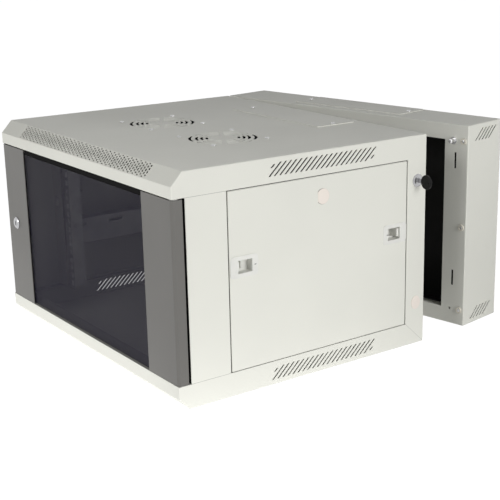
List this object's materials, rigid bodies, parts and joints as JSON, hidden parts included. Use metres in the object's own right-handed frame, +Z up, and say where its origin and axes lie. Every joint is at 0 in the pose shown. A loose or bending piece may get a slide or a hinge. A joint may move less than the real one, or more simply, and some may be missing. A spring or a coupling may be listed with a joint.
{
  "type": "wall mount network cabinet",
  "caption": "Double-section wall mount network cabinet: rack-rail body with a tinted glass door, vented top and lift-off sides, hinged to a shallow wall section",
  "frame": {"origin": "centre of the main body's underside, which stands on the floor plane", "axes": "+X to the main body's right seen from its door, +Y from the door to the wall, +Z up"},
  "size_m": [0.652, 0.7079, 0.3714],
  "materials": {
    "powder_coat": "light grey powder coat with a fine grain",
    "door_coat": "dark grey powder coat",
    "black_coat": "black powder coat",
    "zinc": "bright zinc plate",
    "rail_zinc": "dull zinc plate",
    "chrome": "polished",
    "tinted_glass": "dark tinted toughened glass",
    "latch_plastic": "light grey moulded plastic",
    "fan_plastic": "black moulded plastic",
    "plug_plastic": "pinkish beige moulded plastic",
    "buffer_rubber": "pale soft buffer",
    "gasket": "black foam strip",
    "key_plastic": "black moulded grip",
    "brass": "plain brass"
  },
  "bodies": {
    "wall_section": {"wall_shell": "powder_coat", "wall_back_plate": "black_coat", "wall_top_cover": "powder_coat", "wall_bottom_cover": "powder_coat", "wall_buffers": "buffer_rubber", "wall_guide_pin": "zinc", "wall_section_screws": "zinc", "hinge_wall_leaves": "powder_coat", "hinge_pins": "zinc"},
    "main_body": {"top_frame": "powder_coat", "bottom_frame": "powder_coat", "front_pillar_right": "powder_coat", "front_pillar_left": "powder_coat", "rear_pillar_right": "powder_coat", "rear_pillar_left": "powder_coat", "braces_right": "rail_zinc", "braces_left": "rail_zinc", "front_rail_right": "rail_zinc", "front_rail_left": "rail_zinc", "rear_rail_right": "rail_zinc", "rear_rail_left": "rail_zinc", "rail_bolts": "zinc", "top_cable_cover": "powder_coat", "bottom_cable_cover": "powder_coat", "cable_cover_screws": "zinc", "fan_frame_left": "fan_plastic", "fan_frame_right": "fan_plastic", "fan_screws": "zinc", "earth_stud": "zinc", "earth_nut": "brass", "side_panel_right": "powder_coat", "side_panel_left": "powder_coat", "latch_housings_right": "latch_plastic", "latch_housings_left": "latch_plastic", "panel_plugs": "plug_plastic", "pillar_plug": "plug_plastic", "door_washers": "latch_plastic", "swing_lock_body": "chrome", "swing_lock_nut": "zinc", "hinge_body_leaves": "powder_coat"},
    "door": {"door_strip_right": "door_coat", "door_strip_left": "door_coat", "door_glass": "tinted_glass", "door_gaskets": "gasket", "door_brackets": "zinc", "door_lock_body": "chrome", "door_lock_nut": "zinc"},
    "door_lock": {"door_lock_plug": "chrome", "door_lock_cam": "zinc"},
    "swing_lock": {"swing_lock_plug": "chrome", "swing_lock_cam": "zinc", "key_blade": "chrome", "key_head": "key_plastic"},
    "latch_front_right": {"latch_tongue_front_right": "latch_plastic"},
    "latch_front_left": {"latch_tongue_front_left": "latch_plastic"},
    "latch_rear_right": {"latch_tongue_rear_right": "latch_plastic"},
    "latch_rear_left": {"latch_tongue_rear_left": "latch_plastic"},
    "fan_left": {"fan_rotor_left": "fan_plastic"},
    "fan_right": {"fan_rotor_right": "fan_plastic"}
  },
  "joints": [
    {"name": "body_swing", "type": "hinge", "parent": "wall_section", "child": "main_body", "pos_m": [-0.3055, 0.2505, 0.184], "axis": [0, 0, -1], "range_deg": [-10, 80]},
    {"name": "door_hinge", "type": "hinge", "parent": "main_body", "child": "door", "pos_m": [0.2925, -0.2415, 0.1835], "axis": [0, 0, 1], "range_deg": [0, 180]},
    {"name": "door_lock_turn", "type": "hinge", "parent": "door", "child": "door_lock", "pos_m": [-0.261, -0.249, 0.184], "axis": [0, 1, 0], "range_deg": [0, 90]},
    {"name": "swing_lock_turn", "type": "hinge", "parent": "main_body", "child": "swing_lock", "pos_m": [0.3, 0.2294, 0.291], "axis": [-1, 0, 0], "range_deg": [0, 90]},
    {"name": "latch_front_right_draw", "type": "slide", "parent": "main_body", "child": "latch_front_right", "axis": [0, 1, 0], "range_m": [0, 0.008], "stiffness_N_per_m": 300},
    {"name": "latch_front_left_draw", "type": "slide", "parent": "main_body", "child": "latch_front_left", "axis": [0, 1, 0], "range_m": [0, 0.008], "stiffness_N_per_m": 300},
    {"name": "latch_rear_right_draw", "type": "slide", "parent": "main_body", "child": "latch_rear_right", "axis": [0, -1, 0], "range_m": [0, 0.008], "stiffness_N_per_m": 300},
    {"name": "latch_rear_left_draw", "type": "slide", "parent": "main_body", "child": "latch_rear_left", "axis": [0, -1, 0], "range_m": [0, 0.008], "stiffness_N_per_m": 300},
    {"name": "fan_left_spin", "type": "hinge", "parent": "main_body", "child": "fan_left", "pos_m": [-0.08825, -0.0335, 0.355], "axis": [0, 0, 1], "continuous": true},
    {"name": "fan_right_spin", "type": "hinge", "parent": "main_body", "child": "fan_right", "pos_m": [0.10925, -0.0335, 0.355], "axis": [0, 0, 1], "continuous": true}
  ]
}
